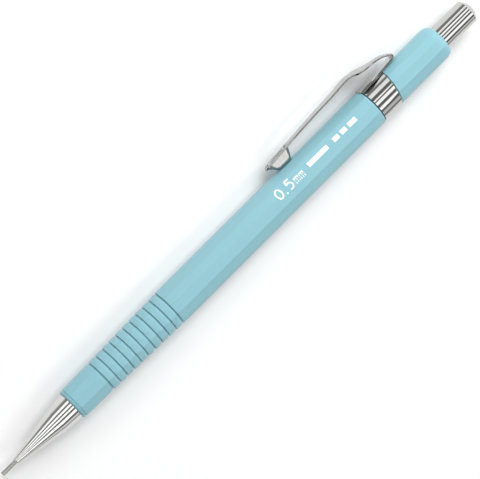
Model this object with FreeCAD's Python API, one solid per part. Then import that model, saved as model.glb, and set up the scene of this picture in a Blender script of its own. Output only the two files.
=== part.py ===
import FreeCAD, Part
import math
import os

# A click-action mechanical pencil with a 4 mm drafting sleeve.
#
# The pencil lies on a desk. Its axis runs along X, with the writing tip towards +X and the push button
# towards -X. The pocket clip points towards -Y, and +Z is up. The lowest flat of the barrel lies in the
# plane z = 0, and the origin is on that flat, directly under the axis and halfway along the pencil.
#
# Places along the pencil are stations: the distance in millimetres behind the end of the guide sleeve.
# Heights of the clip are given as its reach, the distance from the pencil's axis towards -Y.

Vector = FreeCAD.Vector

# ---- driving dimensions, in millimetres ----
LENGTH = 143.0                  # guide sleeve to the top of the push button
SIDES = 12                      # flats round the barrel
BARREL_RADIUS = 4.45            # plain barrel, axis to corner
BARREL_SOFTNESS = 1.1           # corner rounding of the plain barrel
CRISP_SOFTNESS = 0.5            # corner rounding of the front band and of the rear barrel
BARREL_FRONT = 20.6
BARREL_REAR = 132.95

NOSE_BAND_RADIUS = (3.78, 3.88)  # plain front band of the barrel, front and back
NOSE_BAND_END = 28.85
# rounding of the front edge: distance behind the edge, and how far it is below the band's radius
NOSE_ROUNDING = [(0.0, 0.3), (0.2, 0.12), (0.6, 0.0)]
GRIP_START = 29.58              # first sharp step of the grip
GRIP_STEPS = 10
GRIP_PITCH = 2.042
GRIP_CREST_LENGTH = 1.25
GRIP_CREST_RADIUS = (3.97, 4.38)  # first and last ring
GRIP_GROOVE_DEPTH = 0.17
STEP_DRAFT = 0.05               # length over which a sharp moulded step rises
EDGE_DRAFT = 0.25
EDGE_DROP = 0.15                # how far the barrel closes in over the last draft before the clip band

REAR_BARREL_RADIUS = 4.17
SHOULDER_LENGTH = 2.1           # rounded rear end of the barrel
SHOULDER_DEPTH = 0.92
SHOULDER_SECTIONS = 6
BARREL_BORE = 3.0
INSERT_BORE = 3.1               # wider bore in the nose, where the brass insert is pressed in
INSERT_END = 29.0

SHEET = 0.45                    # thickness of the clip's sheet steel
BAND_FRONT = 111.93
BAND_REAR = 117.73              # on the axis; the rear edge leans back towards the clip
BAND_LEAN = 0.16                # how far the rear edge moves back per millimetre towards the clip
BAND_RADIUS = 4.32
BAND_GAP = 0.08                 # shadow gap at both edges of the band
BASE_LIP = 0.4                  # how far the clip's base reaches forward of the band
BASE_HALF_WIDTH = 1.7
BASE_REACH = 4.5                # outer face of the base strip over the band
FOLD_STATION = 122.05           # centre of the hairpin fold at the back of the clip
FOLD_REACH = 5.15
FOLD_OUTER = 0.7
FOLD_HALF_WIDTH = 1.4
FOLD_ARM_LEAN = math.radians(31.0)   # slope of the arm where it leaves the fold
FOLD_BASE_LEAN = math.radians(6.8)   # slope of the base strip where it meets the fold
FOLD_GAP = 0.06                 # between the base strip and the folded end of the arm
BASE_BEND = 116.9               # where the base strip starts to rise towards the fold
# outer face of the clip's arm, from the fold to the shoulder and from the shoulder to the foot
ARM_HEEL = [(121.6, 6.15), (120.75, 6.6), (119.35, 6.92), (118.25, 7.12), (117.15, 7.33), (116.1, 7.55),
            (115.1, 7.79), (114.1, 8.03)]
ARM_BLADE = [(113.2, 8.32), (112.3, 8.56), (110.5, 8.6), (108.3, 8.4), (101.8, 8.06), (95.1, 7.65),
             (90.85, 7.35), (88.65, 7.2), (86.5, 6.97), (85.3, 6.7)]
# half width of the arm at each station
ARM_HALF_WIDTHS = [(123.1, 1.4), (121.0, 1.3), (119.4, 1.2), (118.2, 1.3), (117.15, 1.75), (116.0, 2.4),
                   (114.95, 2.95), (114.05, 3.05), (113.5, 2.6), (112.9, 1.75), (111.9, 1.6), (110.55, 1.58),
                   (93.5, 1.0), (92.3, 1.15), (86.5, 1.2)]
ARM_END = 85.3
ARM_TIP_ROUNDING = (0.35, 0.85)  # how far behind the tip the rounded end passes through a half width
FOOT_TOP = (84.9, 93.1)         # stations of the boat-shaped foot under the arm
FOOT_BOTTOM = (87.5, 91.2)
FOOT_TOP_HALF_WIDTH = 1.2
FOOT_BOTTOM_HALF_WIDTH = 0.75
FOOT_CLEARANCE = 0.06           # between the foot and the barrel
FOOT_WALL = 0.35
FOOT_TOP_REACH = 7.9
# the foot stops inside the arm's sheet: reach of that limit at the tip and just behind the foot
FOOT_LIMIT = [(85.3, 6.5), (94.1, 7.3)]

SLEEVE_RADIUS = 0.5
SLEEVE_BORE = 0.3
SLEEVE_EXPOSED = 4.0
SLEEVE_FREE = 3.9               # straight part, in front of the thicker seat that is pressed into the cone
SLEEVE_SEAT_RADIUS = 0.66
SLEEVE_END = 9.0
LEAD_RADIUS = 0.25
LEAD_GRIP_RADIUS = 0.26         # bore of the jaws and of the rubber retainer
LEAD_FRONT = 0.4
LEAD_REAR = 52.0
SPARE_LEADS = 3
SPARE_LEAD_SPAN = (48.0, 108.0)
SPARE_LEAD_SPACING = math.radians(22.0)
SPARE_LEAD_GAP = 0.02           # between a spare lead and the wall of its tube

CONE_NOSE_RADIUS = 0.78
CONE_NOSE_ROUNDING = 0.1
CONE_KNEE = (16.0, 3.0)         # station and radius where the cone turns into its gentle taper
CONE_KNEE_BLEND = 1.0
CONE_BASE = (20.55, 3.3)
RETAINER_RADIUS = 1.0
RETAINER_END = 11.4
LEAD_PASSAGE = 0.9
JAW_CAVITY_START = 14.2
JAW_CAVITY = 1.95
CLUTCH_STEP = 17.45             # the step in the cone that stops the clutch ring
SPIGOT_BORE = 2.25
SPIGOT_RADIUS = 2.7
SPIGOT_END = 27.3

INSERT_FRONT = 21.6
INSERT_INNER = 2.75
INSERT_SHOULDER = 28.2

JAW_FRONT = 17.0
JAW_HEAD_END = 17.6
JAW_HEAD_RADIUS = 1.55
JAW_TAPER_END = 19.2
JAW_TAPER_RADIUS = 1.15
JAW_NECK_RADIUS = 1.0
JAW_REAR = 26.0
JAW_COUNT = 3
JAW_SLOT = 0.15
FIRST_SLOT_ANGLE = 30
FLEXURE_GAP = 0.06              # between a jaw's root and the stem that carries it
STEM_END = 36.0
STEM_BORE = 0.35
CLUTCH_FRONT = 18.1
CLUTCH_REAR = 20.1
CLUTCH_RADIUS = 2.15
CLUTCH_FIT = 0.03
HOUSING_FRONT = 20.2
HOUSING_LIP_END = 21.0
HOUSING_LIP_BORE = 1.45
HOUSING_REAR = 34.5
HOUSING_RADIUS = 2.2
HOUSING_BORE = 1.95
HOUSING_FLANGE = (27.4, 28.2)
HOUSING_FLANGE_RADIUS = 2.7
SPRING_WIRE = 0.15
SPRING_RADIUS = 1.65
SPRING_HALF_TURNS = 16
SPRING_SEAT_GAP = 0.02

CONNECTOR_FRONT = 33.0
CONNECTOR_GUIDE_RADIUS = 1.85
CONNECTOR_COLLAR = (39.0, 41.0)
CONNECTOR_SPIGOT_END = 46.0
CONNECTOR_BORE = 0.45
CONNECTOR_FUNNEL = 1.3
CONNECTOR_FUNNEL_START = 44.0
TUBE_RADIUS = 2.2
TUBE_BORE = 1.75
SOCKET_START = 128.0
SOCKET_FLARE = 1.0
SOCKET_RADIUS = 2.45
SOCKET_BORE = 2.05
SOCKET_SEAT = 130.5
TUBE_REAR = 134.0
HOLDER_RADIUS = 2.0
HOLDER_BORE = 1.72
HOLDER_SPAN = (130.6, 136.4)
HOLDER_FLOOR = (131.6, 132.2)
HOLDER_RIM = (134.05, 134.6)
HOLDER_RIM_RADIUS = 2.42
ERASER_END = 140.4
ERASER_ROUNDING = 0.35
PIN_RADIUS = 0.2
PIN_SPAN = (120.0, 134.8)

CAP_RADIUS = 2.9
CAP_BORE = 2.5
CAP_FRONT = 127.0
CAP_CEILING = 141.0
CAP_CHAMFER_START = 141.66
CAP_CHAMFER_END = (142.53, 1.84)

# ---- worked out from the driving dimensions ----
FACET_ANGLE = 2 * math.pi / SIDES
CORNER_EXCESS = 1 / math.cos(FACET_ANGLE / 2) - 1
PLAIN_START = GRIP_START + GRIP_STEPS * GRIP_PITCH
SEAT_RADIUS = BAND_RADIUS - SHEET


def flat_distance(radius, softness):
    """Distance from the axis to a flat, for a rounded twelve-sided outline of a given corner radius."""
    return (radius + CORNER_EXCESS * softness) / (1 + CORNER_EXCESS)


AXIS_HEIGHT = flat_distance(BARREL_RADIUS, BARREL_SOFTNESS)
FOOT_REACH = AXIS_HEIGHT + FOOT_CLEARANCE


def along(station):
    """X of a station."""
    return LENGTH / 2 - station


def across(station, radius, angle):
    """Point at a station, at a radius from the axis; the angle turns from -Y towards +Z."""
    return Vector(along(station), -radius * math.cos(angle), AXIS_HEIGHT + radius * math.sin(angle))


def path(corners, place):
    """Edges through corners; a corner with a third value is the middle of an arc to the next one."""
    points = [place(*corner[:2]) for corner in corners]
    edges = []
    index = 0
    while index < len(corners) - 1:
        if len(corners[index + 1]) == 3:
            edges.append(Part.Arc(points[index], points[index + 1], points[index + 2]).toShape())
            index += 2
        else:
            edges.append(Part.LineSegment(points[index], points[index + 1]).toShape())
            index += 1
    return edges


def turned(corners):
    """Solid of revolution about the pencil's axis, from a closed outline of (station, radius) corners."""
    edges = path(corners + [corners[0]], lambda station, radius: across(station, radius, math.pi / 2))
    face = Part.Face(Part.Wire(edges))
    return face.revolve(Vector(0, 0, AXIS_HEIGHT), Vector(1, 0, 0), 360)


def ring(front, rear, outer, inner):
    """Plain tube between two stations."""
    return turned([(front, inner), (front, outer), (rear, outer), (rear, inner)])


def rod(front, rear, radius):
    """Plain round bar between two stations."""
    return turned([(front, 0), (front, radius), (rear, radius), (rear, 0)])


def block(front, rear, reaches, half_width):
    """Box between two stations, between two distances towards -Y, and a half width along Z."""
    corner = Vector(along(rear), -reaches[1], AXIS_HEIGHT - half_width)
    return Part.makeBox(rear - front, reaches[1] - reaches[0], 2 * half_width, corner)


# ---- barrel ----

def twelve_sided(station, radius, softness):
    """Rounded twelve-sided outline across the axis, with flats facing straight down and at the clip."""
    flat = flat_distance(radius, softness)
    half_flat = (flat - softness) * math.tan(FACET_ANGLE / 2)
    flat_turn = math.atan2(half_flat, flat)
    flat_end = math.hypot(half_flat, flat)
    edges = []
    for side in range(SIDES):
        middle = side * FACET_ANGLE
        start = across(station, flat_end, middle - flat_turn)
        end = across(station, flat_end, middle + flat_turn)
        corner = across(station, radius, middle + FACET_ANGLE / 2)
        following = across(station, flat_end, middle + FACET_ANGLE - flat_turn)
        edges.append(Part.LineSegment(start, end).toShape())
        edges.append(Part.Arc(end, corner, following).toShape())
    return Part.Wire(edges)


def lofted(outline):
    """Solid through twelve-sided outlines, one for each (station, radius, softness)."""
    return Part.makeLoft([twelve_sided(*section) for section in outline], True, True)


def front_softness(station):
    """The corners soften steadily from the nose to the start of the plain barrel."""
    share = (station - BARREL_FRONT) / (PLAIN_START - BARREL_FRONT)
    return CRISP_SOFTNESS + share * (BARREL_SOFTNESS - CRISP_SOFTNESS)


def nose_and_grip():
    """Front band with its rounded front edge, a shallow groove, then the saw-tooth rings of the grip."""
    front, back = NOSE_BAND_RADIUS
    groove = front - GRIP_GROOVE_DEPTH / 2
    outline = [(BARREL_FRONT + setback, front - drop) for setback, drop in NOSE_ROUNDING]
    outline.append((NOSE_BAND_END, back))
    outline.append((NOSE_BAND_END + EDGE_DRAFT, groove))
    outline.append((GRIP_START - STEP_DRAFT, groove))
    first, last = GRIP_CREST_RADIUS
    for step in range(GRIP_STEPS):
        start = GRIP_START + step * GRIP_PITCH
        crest = first + (last - first) * step / (GRIP_STEPS - 1)
        outline.append((start, crest))
        outline.append((start + GRIP_CREST_LENGTH, crest))
        outline.append((start + GRIP_PITCH - STEP_DRAFT, crest - GRIP_GROOVE_DEPTH))
    return [(station, radius, front_softness(station)) for station, radius in outline]


def rear_barrel():
    """Slimmer barrel behind the clip band, closing in a rounded shoulder round the push button."""
    outline = [(BAND_FRONT, REAR_BARREL_RADIUS, CRISP_SOFTNESS)]
    for step in range(SHOULDER_SECTIONS + 1):
        turn = math.pi / 2 * step / SHOULDER_SECTIONS
        station = BARREL_REAR - SHOULDER_LENGTH * (1 - math.sin(turn))
        radius = REAR_BARREL_RADIUS - SHOULDER_DEPTH * (1 - math.cos(turn))
        outline.append((station, radius, CRISP_SOFTNESS))
    return lofted(outline)


def band_zone(gap):
    """Slice of space the clip band fills, between a square front and a leaning rear, less a gap."""
    reach = 2 * BAND_RADIUS
    front = BAND_FRONT + gap
    rear = BAND_REAR - gap
    corners = [(front, -reach), (front, reach),
               (rear + BAND_LEAN * reach, reach), (rear - BAND_LEAN * reach, -reach)]
    points = [Vector(along(station), -side, AXIS_HEIGHT - reach) for station, side in corners]
    return Part.Face(Part.makePolygon(points + points[:1])).extrude(Vector(0, 0, 2 * reach))


def barrel():
    """One moulding: nose, grip, plain barrel, a round seat for the clip band, and the rear barrel."""
    plain = [(PLAIN_START, BARREL_RADIUS, BARREL_SOFTNESS),
             (BAND_FRONT - EDGE_DRAFT, BARREL_RADIUS, BARREL_SOFTNESS),
             (BAND_FRONT, BARREL_RADIUS - EDGE_DROP, BARREL_SOFTNESS)]
    body = lofted(nose_and_grip() + plain).fuse(rear_barrel())
    seat = ring(BAND_FRONT, BAND_REAR + BAND_RADIUS, 2 * BAND_RADIUS, SEAT_RADIUS).common(band_zone(0))
    notch = block(BAND_FRONT - BASE_LIP - BAND_GAP, BAND_FRONT, (BASE_REACH - SHEET, 2 * BAND_RADIUS),
                  BASE_HALF_WIDTH + BAND_GAP)
    bore = turned([(BARREL_FRONT, 0), (BARREL_FRONT, INSERT_BORE), (INSERT_END, INSERT_BORE),
                   (INSERT_END, BARREL_BORE), (BARREL_REAR, BARREL_BORE), (BARREL_REAR, 0)])
    return body.cut(seat).cut(notch).cut(bore)


# ---- pocket clip ----

def reach_point(station, reach):
    """Point in the clip's middle plane."""
    return Vector(along(station), -reach, AXIS_HEIGHT)


def widened(face, half_width):
    """Prism of a face in the clip's middle plane, to both sides of it."""
    lowered = face.translated(Vector(0, 0, -half_width))
    return lowered.extrude(Vector(0, 0, 2 * half_width))


def strip(outer, first_slope):
    """Side view of sheet steel under a smooth line of (station, reach) points on its outer face."""
    inner = []
    for index, (station, reach) in enumerate(outer):
        slope = first_slope
        if index > 0:
            before = outer[index - 1]
            after = outer[min(index + 1, len(outer) - 1)]
            slope = math.atan2(after[1] - before[1], before[0] - after[0])
        inner.append((station - SHEET * math.sin(slope), reach - SHEET * math.cos(slope)))
    lines = []
    for points in (outer, inner):
        curve = Part.BSplineCurve()
        curve.interpolate([reach_point(*point) for point in points])
        lines.append(curve.toShape())
    ends = [Part.LineSegment(reach_point(*outer[end]), reach_point(*inner[end])).toShape() for end in (0, -1)]
    return Part.Face(Part.Wire(Part.__sortEdges__([lines[0], ends[1], lines[1], ends[0]])))


def fold_point(radius, turn):
    """Point on the fold's circle; the turn goes from straight out, over the back, to straight in."""
    return (FOLD_STATION + radius * math.sin(turn), FOLD_REACH + radius * math.cos(turn))


def fold():
    """Side view of the hairpin that joins the base strip to the arm."""
    start = FOLD_ARM_LEAN
    end = math.pi - FOLD_BASE_LEAN
    middle = (start + end) / 2
    inner = FOLD_OUTER - SHEET
    corners = [fold_point(FOLD_OUTER, start), fold_point(FOLD_OUTER, middle) + ("arc",),
               fold_point(FOLD_OUTER, end), fold_point(inner, end),
               fold_point(inner, middle) + ("arc",), fold_point(inner, start)]
    return Part.Face(Part.Wire(path(corners + [corners[0]], reach_point)))


def clip_band():
    """Steel band round the barrel, with the base strip that runs back along the barrel to the fold."""
    band = ring(BAND_FRONT, BAND_REAR + BAND_RADIUS, BAND_RADIUS, SEAT_RADIUS).common(band_zone(BAND_GAP))
    outer_end = fold_point(FOLD_OUTER - SHEET, math.pi - FOLD_BASE_LEAN)
    inner_end = fold_point(FOLD_OUTER, math.pi - FOLD_BASE_LEAN)
    lip = BAND_FRONT - BASE_LIP
    corners = [(lip, BASE_REACH - SHEET), (lip, BASE_REACH), (BASE_BEND, BASE_REACH),
               (outer_end[0] - FOLD_GAP, outer_end[1]), (inner_end[0] - FOLD_GAP, inner_end[1]),
               (BASE_BEND, BASE_REACH - SHEET)]
    side = Part.Face(Part.Wire(path(corners + [corners[0]], reach_point)))
    return band.fuse(widened(side, BASE_HALF_WIDTH)).removeSplitter()


def arm_plan():
    """Outline of the arm seen from outside, as a prism that is deeper than the clip."""
    setback, half_width = ARM_TIP_ROUNDING
    tip = [(ARM_END + setback, half_width, "arc"), (ARM_END, 0), (ARM_END + setback, -half_width, "arc")]
    mirrored = [(station, -width) for station, width in reversed(ARM_HALF_WIDTHS)]
    edges = path(ARM_HALF_WIDTHS + tip + mirrored + ARM_HALF_WIDTHS[:1],
                 lambda station, side: Vector(along(station), 0, AXIS_HEIGHT + side))
    return Part.Face(Part.Wire(edges)).extrude(Vector(0, -2 * BAND_RADIUS - SHEET, 0))


def boat(wall):
    """Boat-shaped solid with rounded ends, tapering inwards; a wall makes it smaller all round."""
    wires = []
    levels = [(FOOT_TOP_REACH, FOOT_TOP, FOOT_TOP_HALF_WIDTH),
              (FOOT_REACH + wall, FOOT_BOTTOM, FOOT_BOTTOM_HALF_WIDTH)]
    for reach, (front, rear), full_width in levels:
        width = full_width - wall
        start = front + full_width
        end = rear - full_width
        corners = [(start, width), (start - width, 0, "arc"), (start, -width),
                   (end, -width), (end + width, 0, "arc"), (end, width)]
        edges = path(corners + [corners[0]],
                     lambda station, side: Vector(along(station), -reach, AXIS_HEIGHT + side))
        wires.append(Part.Wire(edges))
    return Part.makeLoft(wires, True, True)


def clip_arm():
    """Springy outer leaf of the clip: fold, stepped shoulder, tapering blade and the pressed hollow foot."""
    heel_start = fold_point(FOLD_OUTER, FOLD_ARM_LEAN)
    side = widened(strip([heel_start] + ARM_HEEL + ARM_BLADE, FOLD_ARM_LEAN), 2 * BAND_RADIUS)
    leaf = side.common(arm_plan())
    folded = widened(fold(), FOLD_HALF_WIDTH)
    front, rear = FOOT_LIMIT
    corners = [(front[0], 0), (rear[0], 0), rear, front, (front[0], 0)]
    space = widened(Part.Face(Part.Wire(path(corners, reach_point))), 2 * BAND_RADIUS)
    foot = boat(0).common(space)
    return leaf.fuse([folded, foot]).cut(boat(FOOT_WALL)).removeSplitter()


# ---- writing end ----

def guide_sleeve():
    """Steel guide pipe for the lead, slightly thicker where it is pressed into the cone."""
    return turned([(0, SLEEVE_BORE), (0, SLEEVE_RADIUS), (SLEEVE_FREE, SLEEVE_RADIUS),
                   (SLEEVE_FREE, SLEEVE_SEAT_RADIUS), (SLEEVE_END, SLEEVE_SEAT_RADIUS),
                   (SLEEVE_END, SLEEVE_BORE)])


def tip_cone():
    """Turned cone with a gentle taper behind its knee and a spigot that screws into the barrel."""
    station, radius = CONE_KNEE
    nose_end = SLEEVE_EXPOSED + CONE_NOSE_ROUNDING
    nose_slope = CONE_NOSE_ROUNDING * (1 - math.sqrt(0.5))
    steep = (radius - CONE_NOSE_RADIUS) / (station - nose_end)
    gentle = (CONE_BASE[1] - radius) / (CONE_BASE[0] - station)
    before = (station - CONE_KNEE_BLEND, radius - steep * CONE_KNEE_BLEND)
    after = (station + CONE_KNEE_BLEND, radius + gentle * CONE_KNEE_BLEND)
    crown = (station, radius - (steep - gentle) * CONE_KNEE_BLEND / 4, "arc")
    outside = [(SLEEVE_EXPOSED, SLEEVE_SEAT_RADIUS),
               (SLEEVE_EXPOSED, CONE_NOSE_RADIUS - CONE_NOSE_ROUNDING),
               (SLEEVE_EXPOSED + nose_slope, CONE_NOSE_RADIUS - nose_slope, "arc"),
               (nose_end, CONE_NOSE_RADIUS),
               before, crown, after, CONE_BASE, (CONE_BASE[0], SPIGOT_RADIUS), (SPIGOT_END, SPIGOT_RADIUS)]
    inside = [(SPIGOT_END, SPIGOT_BORE), (CLUTCH_STEP, SPIGOT_BORE), (CLUTCH_STEP, JAW_CAVITY),
              (JAW_CAVITY_START, JAW_CAVITY), (JAW_CAVITY_START, LEAD_PASSAGE), (RETAINER_END, LEAD_PASSAGE),
              (RETAINER_END, RETAINER_RADIUS), (SLEEVE_END, RETAINER_RADIUS),
              (SLEEVE_END, SLEEVE_SEAT_RADIUS)]
    return turned(outside + inside)


def lead_retainer():
    """Rubber brake that keeps the lead from sliding back."""
    return ring(SLEEVE_END, RETAINER_END, RETAINER_RADIUS, LEAD_GRIP_RADIUS)


def threaded_insert():
    """Brass bush pressed into the nose of the barrel, which takes the cone's spigot."""
    return turned([(INSERT_FRONT, INSERT_INNER), (INSERT_FRONT, INSERT_BORE), (INSERT_END, INSERT_BORE),
                   (INSERT_END, SPIGOT_BORE), (INSERT_SHOULDER, SPIGOT_BORE),
                   (INSERT_SHOULDER, INSERT_INNER)])


# ---- chuck ----

def chuck_housing():
    """Brass sleeve, held by its flange, whose front lip carries the return spring."""
    flange_front, flange_rear = HOUSING_FLANGE
    return turned([(HOUSING_FRONT, HOUSING_LIP_BORE), (HOUSING_FRONT, HOUSING_RADIUS),
                   (flange_front, HOUSING_RADIUS), (flange_front, HOUSING_FLANGE_RADIUS),
                   (flange_rear, HOUSING_FLANGE_RADIUS), (flange_rear, HOUSING_RADIUS),
                   (HOUSING_REAR, HOUSING_RADIUS), (HOUSING_REAR, HOUSING_BORE),
                   (HOUSING_LIP_END, HOUSING_BORE), (HOUSING_LIP_END, HOUSING_LIP_BORE)])


def clutch_ring():
    """Brass ring whose tapered mouth closes the jaws on the lead."""
    taper = (JAW_HEAD_RADIUS - JAW_TAPER_RADIUS) / (JAW_TAPER_END - JAW_HEAD_END)
    mouth = JAW_HEAD_RADIUS - taper * (CLUTCH_FRONT - JAW_HEAD_END) + CLUTCH_FIT
    throat = JAW_TAPER_RADIUS + CLUTCH_FIT
    return turned([(CLUTCH_FRONT, mouth), (CLUTCH_FRONT, CLUTCH_RADIUS), (CLUTCH_REAR, CLUTCH_RADIUS),
                   (CLUTCH_REAR, throat), (JAW_TAPER_END, throat)])


def chuck_jaws():
    """Three brass jaws with a tapered head, split by slots; one solid for each."""
    collet = turned([(JAW_FRONT, LEAD_GRIP_RADIUS), (JAW_FRONT, JAW_HEAD_RADIUS),
                     (JAW_HEAD_END, JAW_HEAD_RADIUS), (JAW_TAPER_END, JAW_TAPER_RADIUS),
                     (JAW_TAPER_END, JAW_NECK_RADIUS), (JAW_REAR, JAW_NECK_RADIUS),
                     (JAW_REAR, LEAD_GRIP_RADIUS)])
    corner = Vector(along(JAW_REAR), 0, AXIS_HEIGHT - JAW_SLOT / 2)
    for jaw in range(JAW_COUNT):
        slot = Part.makeBox(JAW_REAR - JAW_FRONT, 2 * JAW_HEAD_RADIUS, JAW_SLOT, corner)
        slot.rotate(Vector(0, 0, AXIS_HEIGHT), Vector(1, 0, 0), FIRST_SLOT_ANGLE + 360 / JAW_COUNT * jaw)
        collet = collet.cut(slot)
    return sorted(collet.Solids, key=jaw_angle)


def jaw_angle(jaw):
    """Angle of a jaw round the axis, from -Y towards +Z, in a full turn."""
    centre = jaw.CenterOfMass
    return round(math.degrees(math.atan2(centre.z - AXIS_HEIGHT, -centre.y))) % 360


def chuck_stem():
    """Brass stem behind the jaws, pressed into the tube connector."""
    return ring(JAW_REAR + FLEXURE_GAP, STEM_END, JAW_NECK_RADIUS, STEM_BORE)


def return_spring():
    """Steel coil spring between the housing's lip and the tube connector, built up of half turns."""
    front = HOUSING_LIP_END + SPRING_WIRE + SPRING_SEAT_GAP
    rear = CONNECTOR_FRONT - SPRING_WIRE - SPRING_SEAT_GAP
    rise = (rear - front) / SPRING_HALF_TURNS
    side = 1
    coil = []
    for half_turn in range(SPRING_HALF_TURNS):
        start = across(front + half_turn * rise, side * SPRING_RADIUS, 0)
        end = across(front + (half_turn + 1) * rise, -side * SPRING_RADIUS, 0)
        section = Part.Face(Part.Wire(Part.makeCircle(SPRING_WIRE, start, Vector(0, 0, 1))))
        axis = (end - start).cross(Vector(0, 0, side))
        coil.append(section.revolve((start + end) / 2, axis, 180))
        side = -side
    return coil[0].fuse(coil[1:])


# ---- lead magazine and push button ----

def tube_connector():
    """Plastic joint between the chuck stem and the lead tube, with a funnel for the next lead."""
    collar_front, collar_rear = CONNECTOR_COLLAR
    return turned([(CONNECTOR_FRONT, JAW_NECK_RADIUS), (CONNECTOR_FRONT, CONNECTOR_GUIDE_RADIUS),
                   (collar_front, CONNECTOR_GUIDE_RADIUS), (collar_front, TUBE_RADIUS),
                   (collar_rear, TUBE_RADIUS), (collar_rear, TUBE_BORE), (CONNECTOR_SPIGOT_END, TUBE_BORE),
                   (CONNECTOR_SPIGOT_END, CONNECTOR_FUNNEL), (CONNECTOR_FUNNEL_START, CONNECTOR_BORE),
                   (STEM_END, CONNECTOR_BORE), (STEM_END, JAW_NECK_RADIUS)])


def lead_tube():
    """Plastic magazine with a wider socket at the rear for the eraser and the push button."""
    front = CONNECTOR_COLLAR[1]
    return turned([(front, TUBE_BORE), (front, TUBE_RADIUS), (SOCKET_START - SOCKET_FLARE, TUBE_RADIUS),
                   (SOCKET_START, SOCKET_RADIUS), (TUBE_REAR, SOCKET_RADIUS), (TUBE_REAR, SOCKET_BORE),
                   (SOCKET_SEAT, SOCKET_BORE), (SOCKET_SEAT, TUBE_BORE)])


def eraser_holder():
    """Thin metal cup with a rim, which plugs the lead tube and holds the eraser."""
    front, rear = HOLDER_SPAN
    floor_front, floor_rear = HOLDER_FLOOR
    rim_front, rim_rear = HOLDER_RIM
    return turned([(front, HOLDER_BORE), (front, HOLDER_RADIUS), (rim_front, HOLDER_RADIUS),
                   (rim_front, HOLDER_RIM_RADIUS), (rim_rear, HOLDER_RIM_RADIUS), (rim_rear, HOLDER_RADIUS),
                   (rear, HOLDER_RADIUS), (rear, HOLDER_BORE), (floor_rear, HOLDER_BORE),
                   (floor_rear, PIN_RADIUS), (floor_front, PIN_RADIUS), (floor_front, HOLDER_BORE)])


def eraser():
    """Round eraser with a slightly rounded end and a hole for the cleaning pin."""
    start = HOLDER_FLOOR[1]
    slope = ERASER_ROUNDING * (1 - math.sqrt(0.5))
    return turned([(start, PIN_RADIUS), (start, HOLDER_BORE), (ERASER_END - ERASER_ROUNDING, HOLDER_BORE),
                   (ERASER_END - slope, HOLDER_BORE - slope, "arc"),
                   (ERASER_END, HOLDER_BORE - ERASER_ROUNDING), (ERASER_END, 0),
                   (PIN_SPAN[1], 0), (PIN_SPAN[1], PIN_RADIUS)])


def cleaning_pin():
    """Steel wire for clearing a jammed lead."""
    return rod(*PIN_SPAN, PIN_RADIUS)


def push_cap():
    """Hollow button with a chamfered edge and a shallow domed top, open towards the barrel."""
    chamfer_end, top_radius = CAP_CHAMFER_END
    dome = LENGTH - chamfer_end
    sphere = (top_radius ** 2 + dome ** 2) / (2 * dome)
    half_way = top_radius / 2
    dome_middle = (LENGTH - sphere + math.sqrt(sphere ** 2 - half_way ** 2), half_way, "arc")
    return turned([(CAP_FRONT, CAP_BORE), (CAP_FRONT, CAP_RADIUS), (CAP_CHAMFER_START, CAP_RADIUS),
                   CAP_CHAMFER_END, dome_middle, (LENGTH, 0), (CAP_CEILING, 0), (CAP_CEILING, CAP_BORE)])


def working_lead():
    """Lead in the chuck, its point just inside the guide sleeve."""
    return rod(LEAD_FRONT, LEAD_REAR, LEAD_RADIUS)


def spare_lead(index):
    """Loose lead lying along the bottom of the tube, beside its neighbours."""
    distance = TUBE_BORE - LEAD_RADIUS - SPARE_LEAD_GAP
    angle = -math.pi / 2 + (index - (SPARE_LEADS - 1) / 2) * SPARE_LEAD_SPACING
    offset = across(0, distance, angle) - across(0, 0, 0)
    return rod(*SPARE_LEAD_SPAN, LEAD_RADIUS).translated(offset)


def pieces():
    """Every piece of the pencil by name."""
    found = {
        "barrel": barrel(),
        "clip_band": clip_band(),
        "clip_arm": clip_arm(),
        "guide_sleeve": guide_sleeve(),
        "tip_cone": tip_cone(),
        "lead_retainer": lead_retainer(),
        "threaded_insert": threaded_insert(),
        "chuck_housing": chuck_housing(),
        "clutch_ring": clutch_ring(),
        "chuck_stem": chuck_stem(),
        "return_spring": return_spring(),
        "tube_connector": tube_connector(),
        "lead_tube": lead_tube(),
        "eraser_holder": eraser_holder(),
        "eraser": eraser(),
        "cleaning_pin": cleaning_pin(),
        "push_cap": push_cap(),
        "working_lead": working_lead(),
    }
    for index, jaw in enumerate(chuck_jaws()):
        found["chuck_jaw_%d" % (index + 1)] = jaw
    for index in range(SPARE_LEADS):
        found["spare_lead_%d" % (index + 1)] = spare_lead(index)
    return found


os.makedirs("parts", exist_ok=True)
for name, shape in pieces().items():
    shape.exportStep("parts/%s.step" % name)
    box = shape.BoundBox
    print("%-16s solids %d valid %s volume %9.3f  x %7.2f..%7.2f y %6.2f..%6.2f z %6.2f..%6.2f" % (
        name, len(shape.Solids), shape.isValid(), shape.Volume,
        box.XMin, box.XMax, box.YMin, box.YMax, box.ZMin, box.ZMax))
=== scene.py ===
import math

import bpy
from mathutils import Matrix, Vector


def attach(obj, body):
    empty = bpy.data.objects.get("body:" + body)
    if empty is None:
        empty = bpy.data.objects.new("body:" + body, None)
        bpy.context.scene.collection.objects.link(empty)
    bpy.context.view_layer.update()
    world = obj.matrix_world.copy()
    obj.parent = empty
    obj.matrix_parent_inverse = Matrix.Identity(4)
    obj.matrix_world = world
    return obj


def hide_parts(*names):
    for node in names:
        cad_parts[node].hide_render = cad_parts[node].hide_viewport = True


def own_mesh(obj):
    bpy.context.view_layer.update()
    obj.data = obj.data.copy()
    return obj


# Looks of a click-action mechanical pencil: pastel twelve-sided barrel, pressed steel clip, turned tip.
# Lengths are in millimetres and turned into metres when a mesh is made. A station is the distance behind
# the writing end of the guide sleeve; reach is the distance from the pencil's axis towards the clip (-Y).

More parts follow.
